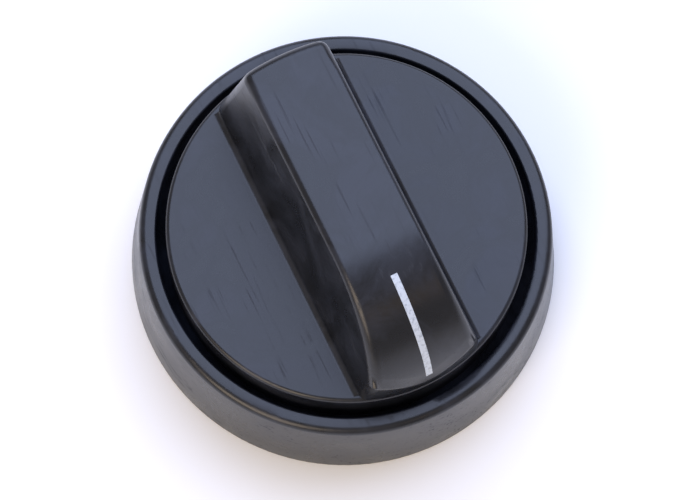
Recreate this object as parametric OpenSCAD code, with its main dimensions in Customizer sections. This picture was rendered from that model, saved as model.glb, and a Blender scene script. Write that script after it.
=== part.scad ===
// Control knob for a kitchen appliance: a skirt ring, a knob cap with a grip bar,
// a split shaft insert with its spring ring, and a printed pointer line.
// Millimetres, +Z up, origin at the centre of the foot. The pointer looks along -Y.

/* [Skirt ring] */
// Outer diameter at the foot
skirt_foot_d = 50; // [48:0.5:54]
// Height of the skirt ring, foot to rim
skirt_h = 12.2; // [11.5:0.1:13.5]
// Lean of the skirt's outer wall, in degrees
skirt_draft = 6.4; // [4:0.2:7]
// Thickness of the skirt's hanging wall
skirt_wall = 1.7; // [1.3:0.1:2]
// Radius of the rim's outer edge
skirt_edge_r = 0.9; // [0.4:0.1:1.1]
// Radius of the rim's inner edge and of the foot's edges
skirt_small_r = 0.25; // [0.15:0.05:0.35]
// Depth of the dark groove round the cap, below the rim
groove_depth = 4; // [3:0.2:4.6]
// Thickness of the skirt's floor
floor_t = 1.6; // [1.2:0.1:2]
// Number of stiffening gussets under the floor
gusset_count = 8; // [4:4:12]
// Thickness of one gusset
gusset_t = 1.1; // [0.8:0.1:1.6]
// Reach of a gusset, inwards from the wall
gusset_reach = 2.2; // [1.5:0.1:3]
// Height of the gussets' lower end above the foot
gusset_low = 1.6; // [0.8:0.1:3]

/* [Cap disc] */
// Diameter of the disc
disc_d = 41.2; // [40:0.2:42]
// Width of the groove between disc and rim
groove_w = 1.15; // [0.8:0.05:1.3]
// Height of the disc's face above the skirt's rim
disc_proud = 2.65; // [1.5:0.05:4]
// Radius of the disc's edge
disc_edge_r = 0.55; // [0.3:0.05:0.8]
// Thickness of the disc and of its hanging wall
cap_wall = 2; // [1.6:0.1:2.3]
// Thickness of the ribs under the disc
rib_t = 1.4; // [1:0.1:2]
// Gap between the ribs and the skirt's floor
rib_gap = 1; // [0.5:0.1:2]
// Reach of the webs inside the grip, beyond the socket
web_reach = 5; // [3:0.5:6]
// Height of the webs inside the grip
web_h = 8; // [5:0.5:9]

/* [Grip bar] */
// Height of the grip above the disc's face
grip_h = 14.5; // [13:0.1:17]
// Width of the grip where its sides meet the disc, before the fillets
grip_foot_w = 14.9; // [14.2:0.1:16]
// Lean of the grip's two sides, in degrees
grip_draft = 9.8; // [8:0.1:10.5]
// Radius of the long top edges
grip_edge_r = 0.7; // [0.4:0.05:0.9]
// Radius of the rear edge and rear corners
grip_rear_r = 1.25; // [0.9:0.05:1.4]
// Length over which the long top edges grow into the rear corners
corner_blend = 4; // [2:0.5:6]
// Radius of the front lip and its corners
grip_lip_r = 1.3; // [0.9:0.05:1.6]
// Radius of the curve that falls from the top to the front of the disc
slope_r = 14.6; // [13:0.1:16]
// Distance from the knob's axis to the rear edge of the top, before rounding
grip_rear_top = 17.3; // [16.5:0.1:18]
// Radius of the rear edge of the top, seen from above
grip_rear_curve = 30; // [24:1:60]
// How far the grip's two ends stay inside the disc's edge
grip_end_inset = 0.1; // [0.05:0.05:0.3]
// Fillet between the grip's sides and the disc
grip_fillet_r = 0.9; // [0.5:0.1:1.2]

/* [Pointer line] */
// Width of the printed line
pointer_w = 0.8; // [0.6:0.02:1.2]
// Distance from the knob's axis to the line's inner end
pointer_inner = 10.4; // [9.5:0.1:12]
// Distance from the knob's axis to the line's outer end
pointer_outer = 20.2; // [18:0.1:20.3]
// Turn of the print about the knob's axis, in degrees
pointer_turn = 0.7; // [-1:0.1:1]
// Depth of the ink's recess
pointer_sink = 0.2; // [0.15:0.05:0.3]
// Height of the ink above the grip
pointer_proud = 0.03; // [0.02:0.01:0.05]

/* [Shaft insert] */
// Diameter of the appliance's shaft
shaft_d = 6; // [5:0.5:7]
// Distance across the shaft's flat
shaft_across_flat = 4.5; // [3.8:0.1:4.8]
// Radial clearance of the shaft in the flatted stretch of the bore
shaft_play = 0.05; // [0.02:0.01:0.1]
// Radial clearance of the shaft in the split mouth, which the spring takes up
mouth_play = 0.25; // [0.1:0.05:0.4]
// Wall of the insert round the shaft
insert_wall = 1.55; // [1.3:0.05:1.7]
// Height of the insert's mouth above the foot
insert_mouth = 1.6; // [1:0.1:2.2]
// Length of the plain round stretch of the bore
round_bore_len = 8.6; // [7:0.1:10]
// Length of the flatted stretch of the bore
flat_bore_len = 10.4; // [8:0.1:11]
// Thickness of the insert's closed end
insert_end_t = 1.6; // [1.2:0.1:2]
// Bevel that leads the shaft into the mouth
mouth_bevel = 0.5; // [0.3:0.1:0.8]
// Width of the two slots that let the mouth spring
slot_w = 1; // [0.8:0.1:1.4]
// Height of the insert's flange
flange_t = 1.5; // [1.2:0.1:2]
// Reach of the flange beyond the insert's wall
flange_reach = 1.5; // [1.2:0.1:1.8]
// Wall of the cap's socket round the insert
socket_wall = 1.5; // [1.2:0.1:2]
// Radial clearance of the insert in the socket
socket_play = 0.04; // [0.02:0.01:0.08]
// Clearance above the insert's closed end
socket_end_play = 0.3; // [0.1:0.1:0.6]
// Clearance of the socket in the hole of the skirt's floor
floor_hole_play = 0.6; // [0.3:0.1:1]
// Width of the two keys on the insert
key_w = 1.4; // [1:0.1:2]
// Height of the two keys
key_h = 0.6; // [0.4:0.1:0.8]

/* [Spring ring] */
// Thickness of the spring strip
spring_t = 0.7; // [0.5:0.05:0.9]
// Width of the spring strip
spring_w = 2.4; // [1.8:0.1:2.6]
// Depth of the groove that holds the spring
spring_groove = 0.4; // [0.3:0.05:0.5]
// Opening between the spring's ends
spring_gap = 1.8; // [1.4:0.1:3]
// Height of the spring above the insert's mouth
spring_set_in = 0.6; // [0.4:0.1:1]
// Gap between the spring and the insert's flange
spring_flange_gap = 0.3; // [0.2:0.1:0.6]

/* [Snap legs] */
// Number of snap legs that hold the skirt
leg_count = 4; // [2:2:4]
// Distance from the knob's axis to the legs' outer face
leg_r = 17; // [16.4:0.1:17.2]
// Thickness of a leg
leg_t = 1.5; // [1.2:0.1:1.8]
// Width of a leg
leg_w = 6; // [4:0.2:8]
// Reach of the hook
hook_reach = 0.9; // [0.6:0.1:1.2]
// Height of the hook
hook_h = 1.5; // [1.2:0.1:1.8]
// Clearance of a leg in its window
leg_play = 0.2; // [0.1:0.05:0.3]

/* [Hidden] */
$fn = 120;
ball_fn = 32;
// How far a cutting body reaches past the face that it cuts
over = 0.5;

skirt_foot_r = skirt_foot_d / 2;
disc_r = disc_d / 2;
rim_bore_r = disc_r + groove_w;
floor_top = skirt_h - groove_depth;
floor_under = floor_top - floor_t;
disc_top = skirt_h + disc_proud;
disc_under = disc_top - cap_wall;
grip_top = disc_top + grip_h;

insert_r = shaft_d / 2 + shaft_play + insert_wall;
flat_bore_r = shaft_d / 2 + shaft_play;
round_bore_r = shaft_d / 2 + mouth_play;
round_bore_top = insert_mouth + round_bore_len;
flat_bore_top = round_bore_top + flat_bore_len;
insert_top = flat_bore_top + insert_end_t;
spring_inner_r = insert_r - spring_groove;
spring_low = insert_mouth + spring_set_in;
flange_low = spring_low + spring_w + spring_flange_gap;
flange_top = flange_low + flange_t;
flange_r = insert_r + flange_reach;
socket_r = insert_r + socket_play;
boss_r = socket_r + key_h + socket_wall;
socket_top = insert_top + socket_end_play;
boss_top = socket_top + socket_wall;
floor_hole_r = boss_r + floor_hole_play;

lean = tan(grip_draft);
grip_end_r = disc_r - grip_end_inset;
slope_overrun = 0.1;
slope_start = grip_end_r + slope_overrun - slope_r;
slope_axis_z = grip_top - slope_r;

// Radius of the skirt's outer wall at height z
function skirt_out(z) = skirt_foot_r - z * tan(skirt_draft);

// Half width of the grip at height z
function grip_half(z) = grip_foot_w / 2 - (z - disc_top) * lean;

// Distance from the middle plane to the centre of a ball that touches the grip's side
function ball_x(z, r) = grip_half(z) - r / cos(grip_draft);

// Where a ball of radius r sits under the falling curve at angle a from the top
function slope_y(a, r) = -slope_start - (slope_r - r) * sin(a);
function slope_z(a, r) = slope_axis_z + (slope_r - r) * cos(a);

// Height of a ball of radius r under the falling curve at distance y in front of the axis
function lip_z(y, r) = slope_axis_z + sqrt(pow(slope_r - r, 2) - pow(y - slope_start, 2));

// Distance in front of the axis of a ball that touches the round front at offset x
function front_y(x, r) = sqrt(pow(grip_end_r - r, 2) - pow(x, 2));

// Waste outside a rounded corner whose faces look along the angles a1 and a2
module corner_waste(x, y, r, a1, a2) {
    mid = (a1 + a2) / 2;
    reach = 2 * r;
    translate([x, y])
        difference() {
            polygon([[0, 0], reach * [cos(a1), sin(a1)], reach * [cos(mid), sin(mid)],
                     reach * [cos(a2), sin(a2)]]);
            circle(r);
        }
}

// Section of the skirt ring: rim, hanging wall and floor
module skirt_section() {
    edge_z = skirt_h - skirt_edge_r;
    small = skirt_small_r;
    slant = small / cos(skirt_draft);
    foot_in = skirt_foot_r - skirt_wall;
    difference() {
        polygon([[skirt_foot_r, 0], [skirt_out(skirt_h), skirt_h], [rim_bore_r, skirt_h],
                 [rim_bore_r, floor_top], [floor_hole_r, floor_top], [floor_hole_r, floor_under],
                 [skirt_out(floor_under) - skirt_wall, floor_under], [foot_in, 0]]);
        corner_waste(skirt_out(edge_z) - skirt_edge_r / cos(skirt_draft), edge_z, skirt_edge_r,
                     skirt_draft, 90);
        corner_waste(rim_bore_r + small, skirt_h - small, small, 90, 180);
        corner_waste(skirt_out(small) - slant, small, small, -90, skirt_draft);
        corner_waste(skirt_out(small) - skirt_wall + slant, small, small, 180 + skirt_draft, 270);
    }
}

// Windows in the floor that the snap legs pass through
module leg_windows() {
    inner = leg_r - leg_t - hook_reach - leg_play;
    for (i = [0 : leg_count - 1])
        rotate(45 + i * 360 / leg_count)
            translate([inner, -leg_w / 2 - leg_play, floor_under - over])
                cube([leg_r + leg_play - inner, leg_w + 2 * leg_play, floor_t + 2 * over]);
}

// Stiffening gussets in the corner between floor and wall
module gussets() {
    intersection() {
        for (i = [0 : gusset_count - 1])
            rotate((i + 0.5) * 360 / gusset_count)
                translate([0, -gusset_t / 2, 0])
                    rotate([90, 0, 0])
                        translate([0, 0, -gusset_t])
                            linear_extrude(gusset_t)
                                polygon([[skirt_foot_r, floor_under + floor_t / 2],
                                         [skirt_foot_r - skirt_wall - gusset_reach,
                                          floor_under + floor_t / 2],
                                         [skirt_foot_r - skirt_wall - gusset_reach,
                                          floor_under - gusset_reach],
                                         [skirt_foot_r, gusset_low]]);
        cylinder(h = skirt_h, r1 = skirt_foot_r - skirt_wall / 2,
                 r2 = skirt_out(skirt_h) - skirt_wall / 2);
    }
}

// Skirt ring: one moulding that the cap snaps into
module skirt_ring() {
    color("#24262b")
        difference() {
            union() {
                rotate_extrude() skirt_section();
                gussets();
            }
            leg_windows();
        }
}

// Outer form of the grip, one convex block with every edge rounded
module grip_block() {
    foot_z = disc_top - cap_wall / 2;
    foot_h = cap_wall / 4;
    rear_z = grip_top - grip_rear_r;
    rear_x = ball_x(rear_z, grip_rear_r);
    rear_shift = grip_rear_top - grip_rear_curve;
    lip_x = ball_x(lip_z(front_y(grip_foot_w / 3, grip_lip_r), grip_lip_r), grip_lip_r);
    front_foot_x = ball_x(foot_z, grip_lip_r);
    rear_foot_x = ball_x(foot_z, grip_rear_r);
    steps = 12;
    across = 8;
    slope_end = acos((lip_z(front_y(lip_x, grip_lip_r), grip_lip_r) - slope_axis_z)
                     / (slope_r - grip_lip_r));
    hull() {
        for (side = [-1, 1]) {
            // long top edges, from behind to the start of the curve
            for (y = [grip_rear_top - corner_blend, -slope_start])
                translate([side * ball_x(grip_top - grip_edge_r, grip_edge_r), y,
                           grip_top - grip_edge_r])
                    sphere(r = grip_edge_r, $fn = ball_fn);
            // falling curve, its edges growing rounder towards the lip
            for (i = [1 : steps]) {
                a = slope_end * i / steps;
                r = grip_edge_r + (grip_lip_r - grip_edge_r) * i / steps;
                translate([side * ball_x(slope_z(a, r), r), slope_y(a, r), slope_z(a, r)])
                    sphere(r = r, $fn = ball_fn);
            }
        }
        for (u = [-1 : 2 / across : 1]) {
            // rear edge of the top
            translate([u * rear_x,
                       rear_shift
                       + sqrt(pow(grip_rear_curve - grip_rear_r, 2) - pow(u * rear_x, 2)),
                       rear_z])
                sphere(r = grip_rear_r, $fn = ball_fn);
            // rear foot
            translate([u * rear_foot_x, front_y(u * rear_foot_x, grip_rear_r), foot_z - foot_h])
                cylinder(h = foot_h, r = grip_rear_r, $fn = ball_fn);
            // front lip and front foot
            translate([u * lip_x, -front_y(u * lip_x, grip_lip_r),
                       lip_z(front_y(u * lip_x, grip_lip_r), grip_lip_r)])
                sphere(r = grip_lip_r, $fn = ball_fn);
            translate([u * front_foot_x, -front_y(u * front_foot_x, grip_lip_r), foot_z - foot_h])
                cylinder(h = foot_h, r = grip_lip_r, $fn = ball_fn);
        }
    }
}

// Fillet along one side of the grip
module side_fillet() {
    half_turn = (90 - grip_draft) / 2;
    reach = grip_fillet_r * tan(half_turn);
    corner = grip_foot_w / 2;
    centre = [corner + reach, disc_top + grip_fillet_r];
    wall_point = centre - grip_fillet_r * [cos(grip_draft), sin(grip_draft)];
    intersection() {
        rotate([90, 0, 0])
            linear_extrude(disc_d, center = true)
                difference() {
                    polygon([[corner - over, disc_top - over], [corner + reach, disc_top - over],
                             centre, wall_point, wall_point - [over, 0]]);
                    translate(centre) circle(grip_fillet_r);
                }
        cylinder(h = grip_top, r = disc_r - disc_edge_r);
    }
}

// Hollow inside the grip, open below
module grip_hollow() {
    ceiling = grip_top - cap_wall;
    floor_half = grip_half(disc_top) - cap_wall;
    front = grip_end_r - cap_wall - grip_lip_r;
    rear = grip_rear_top - cap_wall;
    intersection() {
        rotate([90, 0, 0])
            linear_extrude(disc_d, center = true)
                polygon([[floor_half + cap_wall * lean, disc_under - over],
                         [grip_half(ceiling) - cap_wall, ceiling],
                         [cap_wall - grip_half(ceiling), ceiling],
                         [-floor_half - cap_wall * lean, disc_under - over]]);
        rotate([90, 0, 90])
            linear_extrude(grip_foot_w, center = true)
                union() {
                    translate([-slope_start, disc_under - over])
                        square([rear + slope_start, ceiling - disc_under + over]);
                    intersection() {
                        translate([-front, disc_under - over])
                            square([front - slope_start + over, grip_h + cap_wall]);
                        translate([-slope_start, slope_axis_z]) circle(slope_r - cap_wall);
                    }
                }
    }
}

// Snap legs with outward hooks under the floor
module snap_legs() {
    hook_top = floor_under;
    for (i = [0 : leg_count - 1])
        rotate(45 + i * 360 / leg_count)
            rotate([90, 0, 0])
                linear_extrude(leg_w, center = true)
                    polygon([[leg_r - leg_t, disc_under + over], [leg_r, disc_under + over],
                             [leg_r, hook_top], [leg_r + hook_reach, hook_top],
                             [leg_r + hook_reach, hook_top - hook_h / 3],
                             [leg_r, hook_top - hook_h], [leg_r - leg_t, hook_top - hook_h]]);
}

// Ribs between the socket and the cap's wall
module cap_ribs() {
    rib_low = floor_top + rib_gap;
    web_start = boss_r - socket_wall / 2;
    for (a = [0, 90, 180, 270])
        rotate(a)
            translate([boss_r - over, -rib_t / 2, rib_low])
                cube([disc_r - cap_wall / 2 - boss_r + over, rib_t, disc_under + over - rib_low]);
    // webs inside the grip, in line with the pointer
    for (a = [0, 180])
        rotate(a)
            translate([-rib_t / 2, web_start, disc_under])
                cube([rib_t, boss_r + web_reach - web_start, web_h]);
}

// Stretch of ring along the falling curve, as wide as the printed line
module pointer_stretch(inner_r, outer_r) {
    a1 = asin((pointer_inner - slope_start) / slope_r);
    a2 = asin((pointer_outer - slope_start) / slope_r);
    rotate(pointer_turn)
        translate([-pointer_w / 2, -slope_start, slope_axis_z])
            rotate([0, -90, 0])
                rotate([180, 0, 0])
                    rotate(a1)
                        rotate_extrude(angle = a2 - a1)
                            translate([inner_r, 0]) square([outer_r - inner_r, pointer_w]);
}

// Round boss for the insert, kept inside the grip's two sides where it rises into the grip
module socket_boss() {
    side_skin = 0.2;
    intersection() {
        translate([0, 0, flange_top]) cylinder(h = boss_top - flange_top, r = boss_r);
        union() {
            translate([0, 0, flange_top]) cylinder(h = disc_under - flange_top, r = 2 * boss_r);
            rotate([90, 0, 0])
                linear_extrude(3 * boss_r, center = true)
                    polygon([[grip_half(disc_under) - side_skin, disc_under],
                             [grip_half(boss_top) - side_skin, boss_top],
                             [side_skin - grip_half(boss_top), boss_top],
                             [side_skin - grip_half(disc_under), disc_under]]);
        }
    }
}

// Knob cap: disc, grip, socket, ribs and snap legs in one moulding
module knob_cap() {
    edge_z = disc_top - disc_edge_r;
    color("#1b1d22")
        difference() {
            union() {
                difference() {
                    union() {
                        rotate_extrude()
                            difference() {
                                translate([0, floor_top]) square([disc_r, disc_top - floor_top]);
                                corner_waste(disc_r - disc_edge_r, edge_z, disc_edge_r, 0, 90);
                            }
                        grip_block();
                        side_fillet();
                        mirror([1, 0, 0]) side_fillet();
                    }
                    translate([0, 0, floor_top - over])
                        cylinder(h = disc_under - floor_top + over, r = disc_r - cap_wall);
                    grip_hollow();
                }
                socket_boss();
                cap_ribs();
                snap_legs();
            }
            translate([0, 0, flange_top - over])
                cylinder(h = socket_top - flange_top + over, r = socket_r);
            key_bars(flange_top - over, insert_top, socket_play);
            pointer_stretch(slope_r - pointer_sink, slope_r + over);
        }
}

// Two keys across the insert, or their slots when made wider by play
module key_bars(low, high, play) {
    reach = insert_r + key_h + play;
    translate([-key_w / 2 - play, -reach, low])
        cube([key_w + 2 * play, 2 * reach, high + play - low]);
}

// Shaft insert: a split, keyed sleeve that grips the appliance's shaft
module shaft_insert() {
    flat_at = shaft_across_flat - shaft_d / 2 + shaft_play;
    color("#8f9296")
        difference() {
            union() {
                translate([0, 0, insert_mouth])
                    cylinder(h = insert_top - insert_mouth, r = insert_r);
                translate([0, 0, flange_low]) cylinder(h = flange_t, r = flange_r);
                intersection() {
                    key_bars(flange_top - over, insert_top - insert_end_t, 0);
                    cylinder(h = insert_top, r = insert_r + key_h);
                }
            }
            translate([0, 0, insert_mouth - over])
                cylinder(h = round_bore_len + over, r = round_bore_r);
            intersection() {
                translate([0, 0, round_bore_top - over])
                    cylinder(h = flat_bore_len + over, r = flat_bore_r);
                translate([-shaft_d, -flat_at, 0]) cube([2 * shaft_d, 2 * shaft_d, insert_top]);
            }
            rotate_extrude()
                polygon([[0, insert_mouth - over],
                         [round_bore_r + mouth_bevel + over, insert_mouth - over],
                         [round_bore_r, insert_mouth + mouth_bevel],
                         [0, insert_mouth + mouth_bevel]]);
            translate([-slot_w / 2, -flange_r, insert_mouth - over])
                cube([slot_w, 2 * flange_r, flange_low - insert_mouth + over]);
            translate([0, 0, spring_low])
                difference() {
                    cylinder(h = spring_w, r = flange_r);
                    cylinder(h = spring_w, r = spring_inner_r);
                }
        }
}

// Spring ring: a bent strip of spring steel that closes the insert's split mouth
module retaining_spring() {
    color("#b9bcc0")
        translate([0, 0, spring_low])
            difference() {
                cylinder(h = spring_w, r = spring_inner_r + spring_t);
                translate([0, 0, -over]) cylinder(h = spring_w + 2 * over, r = spring_inner_r);
                translate([-spring_gap / 2, 0, -over])
                    cube([spring_gap, 2 * insert_r, spring_w + 2 * over]);
            }
}

// Pointer line: white ink that fills its shallow recess
module pointer_mark() {
    color("#c9cfd8") pointer_stretch(slope_r - pointer_sink, slope_r + pointer_proud);
}

skirt_ring();
knob_cap();
shaft_insert();
retaining_spring();
pointer_mark();
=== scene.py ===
"""Control knob for a kitchen appliance, standing on its foot on a white card.

After the camera and the studio, the sections follow the knob as it is put together: skirt ring,
shaft insert, spring ring, knob cap and printed pointer line. Metres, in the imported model's frame.
"""
from math import asin, atan, cos, pi, radians, sin, sqrt, tan

import bmesh
import bpy
from mathutils import Matrix, Quaternion, Vector


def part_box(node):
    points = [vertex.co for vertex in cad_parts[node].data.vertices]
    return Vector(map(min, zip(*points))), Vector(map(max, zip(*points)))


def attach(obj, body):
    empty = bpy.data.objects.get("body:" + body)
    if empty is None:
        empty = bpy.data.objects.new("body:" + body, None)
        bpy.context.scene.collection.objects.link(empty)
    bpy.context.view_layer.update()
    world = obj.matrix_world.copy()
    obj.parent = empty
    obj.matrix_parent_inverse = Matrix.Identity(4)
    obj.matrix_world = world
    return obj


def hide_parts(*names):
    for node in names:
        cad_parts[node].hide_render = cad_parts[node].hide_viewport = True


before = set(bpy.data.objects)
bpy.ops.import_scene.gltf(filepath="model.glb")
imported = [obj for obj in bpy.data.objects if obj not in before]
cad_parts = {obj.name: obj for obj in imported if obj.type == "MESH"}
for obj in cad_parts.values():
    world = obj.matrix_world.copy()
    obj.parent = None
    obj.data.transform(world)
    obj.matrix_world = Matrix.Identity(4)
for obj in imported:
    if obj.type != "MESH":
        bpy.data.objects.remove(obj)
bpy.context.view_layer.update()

mm = 0.001

# Camera. The photograph was taken from about 350 mm away and 75 degrees above the floor, from the
# pointer end and a little to its left, with the camera rolled by 6 degrees.
camera_distance = 350 * mm
camera_azimuth = radians(-32)
camera_elevation = radians(75.304)
camera_roll = radians(-6.297)
photo_width_px, photo_height_px = 700, 500
focal_length_px = 2956.769
foot_centre_px = (343.347, 257.659)
sensor_width_mm = 36

towards_camera = Vector((sin(camera_azimuth) * cos(camera_elevation),
                         -cos(camera_azimuth) * cos(camera_elevation),
                         sin(camera_elevation)))
pan = atan((foot_centre_px[0] - photo_width_px / 2) / focal_length_px)
tilt = atan((foot_centre_px[1] - photo_height_px / 2) / focal_length_px)
camera_turn = (towards_camera.to_track_quat("Z", "Y")
               @ Quaternion((0, 0, 1), -camera_roll)
               @ Quaternion((0, 1, 0), pan)
               @ Quaternion((1, 0, 0), tilt))
camera_data = bpy.data.cameras.new("camera")
camera_data.sensor_width = sensor_width_mm
camera_data.lens = sensor_width_mm * focal_length_px / photo_width_px
camera_data.clip_start = 10 * mm
camera = bpy.data.objects.new("camera", camera_data)
camera.matrix_world = (Matrix.Translation(towards_camera * camera_distance)
                       @ camera_turn.to_matrix().to_4x4())
bpy.context.collection.objects.link(camera)
bpy.context.scene.camera = camera


# Studio. A matt white card is the floor. One large, cool soft panel hangs over the knob's rear and
# right, where the flat faces mirror it and the left wall mirrors the dark beside it. A warmer one
# lights the card from the front left, and a small card in front shows softly in the grip's curve.
def paint(hex_colour):
    """An sRGB hex colour as linear red, green, blue and an alpha of 1."""
    shares = [int(hex_colour[i:i + 2], 16) / 255 for i in (1, 3, 5)]
    return [s / 12.92 if s <= 0.04045 else ((s + 0.055) / 1.055) ** 2.4 for s in shares] + [1]


def add_node(tree, kind, settings=None, **inputs):
    """A new node with its settings, and each named input as a value or another node's output."""
    node = tree.nodes.new(kind)
    for key, value in (settings or {}).items():
        setattr(node, key, value)
    for key, value in inputs.items():
        socket = node.inputs[key.replace("_", " ")]
        if isinstance(value, bpy.types.NodeSocket):
            tree.links.new(value, socket)
        else:
            socket.default_value = value
    return node


def new_material(name):
    """An empty node material and its shader tree."""
    material = bpy.data.materials.new(name)
    material.use_nodes = True
    material.node_tree.nodes.clear()
    return material, material.node_tree


def new_piece(name, bm, material):
    """The bmesh as an object at the origin."""
    mesh = bpy.data.meshes.new(name)
    bm.to_mesh(mesh)
    bm.free()
    mesh.materials.append(material)
    piece = bpy.data.objects.new(name, mesh)
    bpy.context.collection.objects.link(piece)
    return piece


card, tree = new_material("matt_white_card")
shader = add_node(tree, "ShaderNodeBsdfPrincipled", Base_Color=paint("#fafafa"), Roughness=0.9,
                  IOR=1.45)
add_node(tree, "ShaderNodeOutputMaterial", Surface=shader.outputs[0])
card_half = 2.0
card_bm = bmesh.new()
bmesh.ops.create_grid(card_bm, x_segments=1, y_segments=1, size=card_half)
new_piece("floor", card_bm, card)


def soft_panel(name, place, aim, size, radiance, colour):
    """A rectangular light of even radiance that faces the point aim."""
    light = bpy.data.lights.new(name, "AREA")
    light.shape = "RECTANGLE"
    light.size, light.size_y = size
    light.energy = radiance * pi * size[0] * size[1]
    light.color = paint(colour)[:3]
    panel = bpy.data.objects.new(name, light)
    panel.location = place
    panel.rotation_euler = (Vector(place) - Vector(aim)).to_track_quat("Z", "Y").to_euler()
    bpy.context.collection.objects.link(panel)


soft_panel("overhead_panel", (0.36, 0.51, 0.62), (0.36, 0.51, 0), (1.08, 1.08), 3.4, "#c8d8ff")
soft_panel("side_panel", (-0.55, -0.35, 0.45), (0, 0, 0), (0.5, 0.5), 4.5, "#ffe9d0")
soft_panel("warm_card", (0.08, -0.50, 0.46), (0, 0, 0.02), (0.15, 0.15), 0.9, "#ffd9b0")

room = bpy.data.worlds.new("pale_room")
room.use_nodes = True
background = room.node_tree.nodes["Background"]
background.inputs["Color"].default_value = paint("#fff6ee")
background.inputs["Strength"].default_value = 0.4
bpy.context.scene.world = room
bpy.context.scene.view_settings.view_transform = "Standard"


# Skirt ring. The outer ring is one injection moulding in black ABS: a rounded rim, a wall that
# flares to the foot, and a floor with windows that the cap's snap legs hook through.
def moulded_abs(name, shade, haze, gloss_roughness, rub_angle):
    """Black ABS from a polished mould: a clouded sheen from handling, and hairline rub marks.

    The haze lies in patches about 8 mm across, the skin's orange peel is 0.5 mm across, and the
    rub marks are hairlines of 0.15 mm, drawn wider than real ones so that they show.
    """
    material, tree = new_material(name)
    place = add_node(tree, "ShaderNodeTexCoord").outputs["Object"]
    clouds = add_node(tree, "ShaderNodeTexNoise", Vector=place, Scale=1 / (8 * mm), Detail=5.0,
                      Roughness=0.62, Distortion=0.8)
    along = add_node(tree, "ShaderNodeMapping", Vector=place, Rotation=(0, 0, rub_angle),
                     Scale=(1.0, 0.035, 1.0))
    rubs = add_node(tree, "ShaderNodeTexNoise", Vector=along.outputs[0], Scale=1 / (0.45 * mm),
                    Detail=2.0)
    hairlines = add_node(tree, "ShaderNodeMapRange", Value=rubs.outputs[0], From_Min=0.59,
                         From_Max=0.68, To_Min=0.0, To_Max=1.0)
    rubbed_spots = add_node(tree, "ShaderNodeMapRange", Value=clouds.outputs[0], From_Min=0.44,
                            From_Max=0.6, To_Min=0.0, To_Max=1.0)
    worn = add_node(tree, "ShaderNodeMath", {"operation": "MULTIPLY"})
    tree.links.new(hairlines.outputs[0], worn.inputs[0])
    tree.links.new(rubbed_spots.outputs[0], worn.inputs[1])
    colour = add_node(tree, "ShaderNodeMix", {"data_type": "RGBA"})
    tree.links.new(rubbed_spots.outputs[0], colour.inputs["Factor"])
    colour.inputs[6].default_value = paint(shade)
    colour.inputs[7].default_value = paint(haze)
    dullness = add_node(tree, "ShaderNodeMapRange", Value=clouds.outputs[0], From_Min=0.35,
                        From_Max=0.7, To_Min=gloss_roughness, To_Max=gloss_roughness + 0.11)
    roughness = add_node(tree, "ShaderNodeMath", {"operation": "MULTIPLY_ADD"})
    roughness.inputs[1].default_value = 0.2
    tree.links.new(worn.outputs[0], roughness.inputs[0])
    tree.links.new(dullness.outputs[0], roughness.inputs[2])
    peel = add_node(tree, "ShaderNodeTexNoise", Vector=place, Scale=1 / (0.5 * mm), Detail=2.0)
    skin = add_node(tree, "ShaderNodeBump", Height=peel.outputs[0], Strength=0.25,
                    Distance=0.004 * mm)
    scratched = add_node(tree, "ShaderNodeBump", {"invert": True}, Height=worn.outputs[0],
                         Strength=0.5, Distance=0.006 * mm, Normal=skin.outputs[0])
    shader = add_node(tree, "ShaderNodeBsdfPrincipled", Base_Color=colour.outputs[2],
                      Roughness=roughness.outputs[0], IOR=1.47, Normal=scratched.outputs[0])
    add_node(tree, "ShaderNodeOutputMaterial", Surface=shader.outputs[0])
    return material


def moulding_from(node, name, material, edge_r=0.0):
    """A merged copy of a CAD node's solid as a piece, with its sharp edges broken by edge_r."""
    bm = bmesh.new()
    bm.from_mesh(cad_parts[node].data)
    bmesh.ops.remove_doubles(bm, verts=bm.verts, dist=0.0005 * mm)
    piece = new_piece(name, bm, material)
    if edge_r:
        bevel = piece.modifiers.new("broken_edges", "BEVEL")
        bevel.width = edge_r
        bevel.segments = 2
        bevel.limit_method = "ANGLE"
        bevel.angle_limit = radians(40)
    return piece


def shade(piece):
    """Smooth rounds, with a sharp line wherever two faces meet at more than 35 degrees."""
    piece.data.shade_smooth()
    piece.data.set_sharp_from_angle(angle=radians(35))


skirt = moulding_from("skirt_ring", "skirt_ring_moulding",
                      moulded_abs("moulded_abs_skirt", "#16181e", "#22252e", 0.25, radians(20)))
shade(skirt)
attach(skirt, "root")
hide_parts("skirt_ring")

# Shaft insert. A split sleeve moulded in glass-filled nylon and pressed into the cap's socket. The
# glass fibres show as fine pale streaks in the dull grey.
nylon, tree = new_material("glass_filled_nylon")
place = add_node(tree, "ShaderNodeTexCoord").outputs["Object"]
streaks = add_node(tree, "ShaderNodeMapping", Vector=place, Scale=(1.0, 1.0, 0.2))
fibres = add_node(tree, "ShaderNodeTexNoise", Vector=streaks.outputs[0], Scale=1 / (0.3 * mm),
                  Detail=3.0)
tint = add_node(tree, "ShaderNodeMix", {"data_type": "RGBA"})
tint.inputs[6].default_value = paint("#76797d")
tint.inputs[7].default_value = paint("#94979b")
tree.links.new(fibres.outputs[0], tint.inputs["Factor"])
grain = add_node(tree, "ShaderNodeBump", Height=fibres.outputs[0], Strength=0.4,
                 Distance=0.01 * mm)
shader = add_node(tree, "ShaderNodeBsdfPrincipled", Base_Color=tint.outputs[2], Roughness=0.62,
                  IOR=1.53, Normal=grain.outputs[0])
add_node(tree, "ShaderNodeOutputMaterial", Surface=shader.outputs[0])
insert = moulding_from("shaft_insert", "shaft_insert_sleeve", nylon)
shade(insert)
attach(insert, "root")
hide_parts("shaft_insert")

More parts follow.
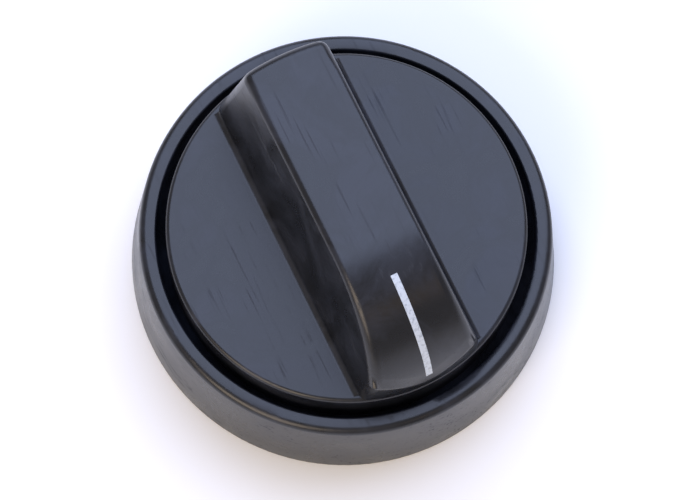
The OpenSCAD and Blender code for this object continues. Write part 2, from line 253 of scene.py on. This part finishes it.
# Spring ring. A strip of cold-rolled spring steel bent into an open ring, which snaps into the
# groove round the insert's split mouth. Rolling leaves fine lines along the strip.
steel, tree = new_material("rolled_spring_steel")
place = add_node(tree, "ShaderNodeTexCoord").outputs["Object"]
rolled = add_node(tree, "ShaderNodeMapping", Vector=place, Scale=(0.05, 0.05, 1.0))
lines = add_node(tree, "ShaderNodeTexNoise", Vector=rolled.outputs[0], Scale=1 / (0.12 * mm),
                 Detail=2.0)
sheen = add_node(tree, "ShaderNodeMapRange", Value=lines.outputs[0], From_Min=0.3, From_Max=0.7,
                 To_Min=0.22, To_Max=0.4)
shader = add_node(tree, "ShaderNodeBsdfPrincipled", Base_Color=paint("#b4b7bb"), Metallic=1.0,
                  Roughness=sheen.outputs[0])
add_node(tree, "ShaderNodeOutputMaterial", Surface=shader.outputs[0])
spring = moulding_from("retaining_spring", "retaining_spring_strip", steel, edge_r=0.06 * mm)
shade(spring)
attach(spring, "root")
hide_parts("retaining_spring")

# Knob cap. Disc and grip are one injection moulding in black ABS. The grip's sides lean in for
# the mould, its top falls in a quarter circle to the disc's front edge, and socket, ribs and snap
# legs hang under the disc. The mesh is a set of closed shells sunk into each other.
disc_r = 20.6 * mm
disc_top = 14.85 * mm
disc_low = 8.2 * mm
disc_edge_r = 0.55 * mm
cap_wall = 2 * mm
disc_under = disc_top - cap_wall
grip_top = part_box("knob_cap")[1].z
grip_foot_half = 7.45 * mm
grip_lean = radians(9.8)
grip_end_r = 20.5 * mm
slope_r = 14.6 * mm
slope_start = 6 * mm
slope_axis_z = grip_top - slope_r
rear_top = 17.3 * mm
rear_curve_r = 30 * mm
side_edge_r = 0.7 * mm
rear_edge_r = 1.25 * mm
lip_r = 1.3 * mm
fillet_r = 0.9 * mm
rear_blend = 4 * mm
widest_bevel = 2 * mm
sunk = 0.5 * mm
round_steps = 240


def turned_section(corners, rounded=(), steps=round_steps):
    """A closed shell: (radius, height) corners, some rounded, spun once round the knob's axis."""
    bm = bmesh.new()
    verts = [bm.verts.new((r, 0, z)) for r, z in corners]
    bm.faces.new(verts)
    for index, radius in rounded:
        bmesh.ops.bevel(bm, geom=[verts[index]], offset=radius, offset_type="OFFSET",
                        affect="VERTICES", segments=8, profile=0.5, material=-1)
    bmesh.ops.delete(bm, geom=bm.faces[:], context="FACES_ONLY")
    on_axis = [e for e in bm.edges if max(v.co.x for v in e.verts) == 0]
    bmesh.ops.delete(bm, geom=on_axis, context="EDGES")
    bmesh.ops.spin(bm, geom=bm.verts[:] + bm.edges[:], cent=(0, 0, 0), axis=(0, 0, 1),
                   angle=2 * pi, steps=steps, use_merge=True)
    return bm


def grip_half(z):
    """Half the grip's width at height z."""
    return grip_foot_half - (z - disc_top) * tan(grip_lean)


def grip_bar():
    """The grip bar: a grid bent over the whole length of its back, its sides and foot filled in.

    Stations count from the front foot over the lip, up the curve and along the top to the rear.
    The edges get bevel weights from their real radii, which grow towards the lip and the rear.
    """
    across = 18
    arc_steps = 48
    blend_steps = 6
    lip_station = 1
    top_station = lip_station + arc_steps
    rear_station = top_station + blend_steps + 1
    last = rear_station + 1
    foot = disc_top - cap_wall / 2

    def spread(step, steps, first):
        """Share of the way, where the first step, next to a rounded edge, is a longer one."""
        return 0 if step == 0 else first + (1 - first) * (step - 1) / (steps - 1)

    def front(x):
        return -sqrt(grip_end_r ** 2 - x ** 2)

    def lip_angle(u):
        """How far round the quarter circle the lip lies, at share u of the half width."""
        y = -grip_end_r
        for _ in range(10):
            z = slope_axis_z + sqrt(max(slope_r ** 2 - (y + slope_start) ** 2, 0))
            y = front(u * grip_half(z))
        return asin(min(1, (-y - slope_start) / slope_r))

    def place(u, station):
        """Where the grid's point at share u of the half width goes."""
        if station in (0, last):
            x = u * grip_half(foot)
            return x, front(x) if station == 0 else -front(x), foot
        if station <= top_station:
            angle = lip_angle(u) * (1 - spread(station - lip_station, arc_steps, 0.1))
            z = slope_axis_z + slope_r * cos(angle)
            return u * grip_half(z), -slope_start - slope_r * sin(angle), z
        x = u * grip_half(grip_top)
        rear = rear_top - rear_curve_r + sqrt(rear_curve_r ** 2 - x ** 2)
        return x, rear - rear_blend * spread(rear_station - station, blend_steps, 0.45), grip_top

    bm = bmesh.new()
    made = bmesh.ops.create_grid(bm, x_segments=across, y_segments=last, size=1)["verts"]
    station = {v: round((v.co.y + 1) / 2 * last) for v in made}
    column = {v: round((v.co.x + 1) / 2 * across) for v in made}
    inner = 0.7
    side = {v: 1 if k == across else inner * (2 * (k - 1) / (across - 2) - 1) if k else -1
            for v, k in column.items()}
    for v in made:
        v.co = place(side[v], station[v])
    for end in (-1, 1):
        bm.faces.new(sorted((v for v in made if side[v] == end), key=station.get))
    front_foot = sorted((v for v in made if station[v] == 0), key=side.get)
    rear_foot = sorted((v for v in made if station[v] == last), key=side.get)
    bm.faces.new(front_foot + rear_foot[::-1])
    bmesh.ops.recalc_face_normals(bm, faces=bm.faces)

    weight = bm.edges.layers.float.new("bevel_weight_edge")
    for e in {e for v in made for e in v.link_edges}:
        low, high = sorted(station[v] for v in e.verts)
        if abs(side[e.verts[0]]) == 1 and side[e.verts[0]] == side[e.verts[1]] and high == low + 1:
            down_slope = min(1, (top_station - low) / arc_steps)
            to_rear = min(1, (high - top_station - 1) / blend_steps)
            radius = (side_edge_r + max(0, down_slope) * (lip_r - side_edge_r)
                      + max(0, to_rear) * (rear_edge_r - side_edge_r))
        elif low == high == lip_station:
            radius = lip_r
        elif low == high == rear_station:
            radius = rear_edge_r
        else:
            continue
        e[weight] = radius * tan(e.calc_face_angle() / 2) / widest_bevel
    return bm


def bar(outline, low_y, high_y):
    """A closed bar with an outline of (x, z) corners, from low_y to high_y."""
    bm = bmesh.new()
    end = bm.faces.new([bm.verts.new((x, low_y, z)) for x, z in outline])
    made = bmesh.ops.extrude_face_region(bm, geom=[end], use_keep_orig=True)["geom"]
    far = [v for v in made if isinstance(v, bmesh.types.BMVert)]
    bmesh.ops.translate(bm, verts=far, vec=(0, high_y - low_y, 0))
    return bm


def side_fillet():
    """The hollow fillet along the grip's right side, sunk into the grip and the disc."""
    round_angle = pi / 2 - grip_lean
    centre_x = grip_foot_half + fillet_r * tan(round_angle / 2)
    steps = 10
    angles = [round_angle * i / steps for i in range(steps + 1)]
    outline = [(centre_x - fillet_r * sin(a), disc_top + fillet_r * (1 - cos(a))) for a in angles]
    outline += [(grip_foot_half - 2 * sunk, disc_top + sunk),
                (grip_foot_half - 2 * sunk, disc_top - sunk), (centre_x, disc_top - sunk)]
    end_y = sqrt((disc_r - disc_edge_r) ** 2 - centre_x ** 2)
    return bar(outline, -end_y, end_y)


def snap_leg():
    """A leg with a hook at its end that points outwards, on the knob's right."""
    leg_r, leg_t, leg_w, hook_reach, hook_h = (n * mm for n in (17, 1.5, 6, 0.9, 1.5))
    hook_top = 6.6 * mm
    leg_low = hook_top - hook_h
    top = disc_under + sunk
    outline = [(leg_r - leg_t, top), (leg_r, top), (leg_r, hook_top),
               (leg_r + hook_reach, hook_top), (leg_r + hook_reach, hook_top - hook_h / 3),
               (leg_r, leg_low), (leg_r - leg_t, leg_low)]
    return bar(outline, -leg_w / 2, leg_w / 2)


cap_bm = bmesh.new()
cap_bm.edges.layers.float.new("bevel_weight_edge")


def add_shell(shell, turn=0.0, mirrored=False):
    """Joins a closed shell to the cap, turned about the axis or mirrored to the other side."""
    bmesh.ops.remove_doubles(shell, verts=shell.verts, dist=0.001 * mm)
    if mirrored:
        bmesh.ops.scale(shell, verts=shell.verts, vec=(-1, 1, 1))
    bmesh.ops.rotate(shell, verts=shell.verts, cent=(0, 0, 0), matrix=Matrix.Rotation(turn, 3, "Z"))
    bmesh.ops.recalc_face_normals(shell, faces=shell.faces)
    mesh = bpy.data.meshes.new("shell")
    shell.to_mesh(mesh)
    shell.free()
    cap_bm.from_mesh(mesh)
    bpy.data.meshes.remove(mesh)


add_shell(turned_section([(0, disc_under), (disc_r - cap_wall, disc_under),
                          (disc_r - cap_wall, disc_low), (disc_r, disc_low), (disc_r, disc_top),
                          (0, disc_top)], rounded=[(4, disc_edge_r)]))
socket_r, boss_r, boss_low = 4.64 * mm, 6.74 * mm, 6.4 * mm
add_shell(turned_section([(socket_r, boss_low), (boss_r, boss_low), (boss_r, disc_under + sunk),
                          (socket_r, disc_under + sunk)], steps=96))
rib_half, rib_low, rib_out = 0.7 * mm, 9.2 * mm, disc_r - cap_wall / 2
rib = [(boss_r - sunk, rib_low), (rib_out, rib_low), (rib_out, disc_under + sunk),
       (boss_r - sunk, disc_under + sunk)]
for quarter in range(4):
    add_shell(bar(rib, -rib_half, rib_half), turn=quarter * pi / 2)
    add_shell(snap_leg(), turn=pi / 4 + quarter * pi / 2)
add_shell(side_fillet())
add_shell(side_fillet(), mirrored=True)
add_shell(grip_bar())
cap = new_piece("knob_cap_moulding", cap_bm,
                moulded_abs("moulded_abs_cap", "#14161c", "#22252e", 0.26, radians(-32)))
rounding = cap.modifiers.new("rounded_edges", "BEVEL")
rounding.width = widest_bevel
rounding.segments = 8
rounding.profile = 0.5
rounding.limit_method = "WEIGHT"
rounding.use_clamp_overlap = False
shade(cap)
flats = cap.modifiers.new("flat_faces_stay_flat", "WEIGHTED_NORMAL")
flats.keep_sharp = True
flats.weight = 100
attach(cap, "root")
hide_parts("knob_cap")

# Pointer line. White ink pad-printed across the grip's curve, in a layer that is thin enough for
# a little of the black to show through, with fine pinholes.
ink, tree = new_material("pad_printed_ink")
place = add_node(tree, "ShaderNodeTexCoord").outputs["Object"]
pinholes = add_node(tree, "ShaderNodeTexNoise", Vector=place, Scale=1 / (0.35 * mm), Detail=3.0)
cover = add_node(tree, "ShaderNodeMapRange", Value=pinholes.outputs[0], From_Min=0.3,
                 From_Max=0.5, To_Min=0.0, To_Max=1.0)
tone = add_node(tree, "ShaderNodeMix", {"data_type": "RGBA"})
tone.inputs[6].default_value = paint("#a3adbb")
tone.inputs[7].default_value = paint("#c6d0de")
tree.links.new(cover.outputs[0], tone.inputs["Factor"])
film = add_node(tree, "ShaderNodeBump", Height=pinholes.outputs[0], Strength=0.3,
                Distance=0.004 * mm)
shader = add_node(tree, "ShaderNodeBsdfPrincipled", Base_Color=tone.outputs[2], Roughness=0.5,
                  IOR=1.48, Normal=film.outputs[0])
add_node(tree, "ShaderNodeOutputMaterial", Surface=shader.outputs[0])
pointer = moulding_from("pointer_mark", "pointer_ink_line", ink)
shade(pointer)
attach(pointer, "root")
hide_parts("pointer_mark")
